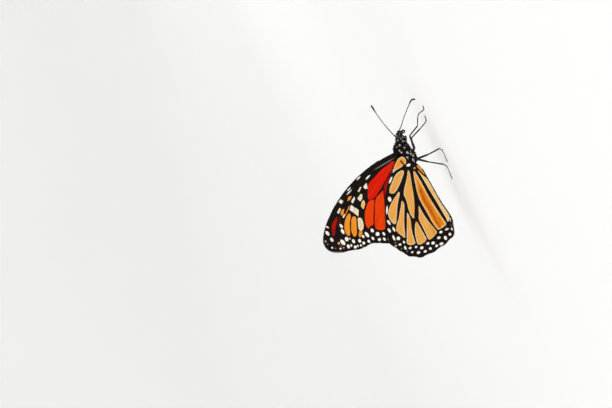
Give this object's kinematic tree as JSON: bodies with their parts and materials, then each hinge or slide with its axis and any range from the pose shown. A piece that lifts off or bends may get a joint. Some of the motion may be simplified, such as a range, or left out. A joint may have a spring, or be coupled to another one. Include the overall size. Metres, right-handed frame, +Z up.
{
  "type": "monarch butterfly",
  "caption": "Life-size still model of a monarch butterfly standing with its wings closed over its back, for display.",
  "frame": {"origin": "on the floor, under the middle of the whole insect's box", "axes": "+X toward the head, +Y toward the animal's left, +Z up from the floor"},
  "size_m": [0.0686, 0.0162, 0.0625],
  "materials": {
    "body": "black chitin under short black hair with white dots",
    "wing_front": "scaled membrane, orange-red between black veins",
    "wing_hind": "scaled membrane, pale orange between black veins",
    "eye": "dark compound eye, finely faceted",
    "horn": "black jointed horn of the legs, feelers and mouthparts"
  },
  "bodies": {
    "root": {"head": "body", "thorax": "body", "abdomen": "body", "eye_left": "eye", "eye_right": "eye", "antenna_left": "horn", "antenna_right": "horn", "palp_left": "horn", "palp_right": "horn", "proboscis": "horn", "foreleg_left": "horn", "foreleg_right": "horn", "midleg_left_femur": "horn", "midleg_left_tibia": "horn", "midleg_left_tarsus": "horn", "midleg_right_femur": "horn", "midleg_right_tibia": "horn", "midleg_right_tarsus": "horn", "hindleg_left_femur": "horn", "hindleg_left_tibia": "horn", "hindleg_left_tarsus": "horn", "hindleg_right_femur": "horn", "hindleg_right_tibia": "horn", "hindleg_right_tarsus": "horn", "forewing_left": "wing_front", "forewing_right": "wing_front", "hindwing_left": "wing_hind", "hindwing_right": "wing_hind"}
  },
  "joints": []
}
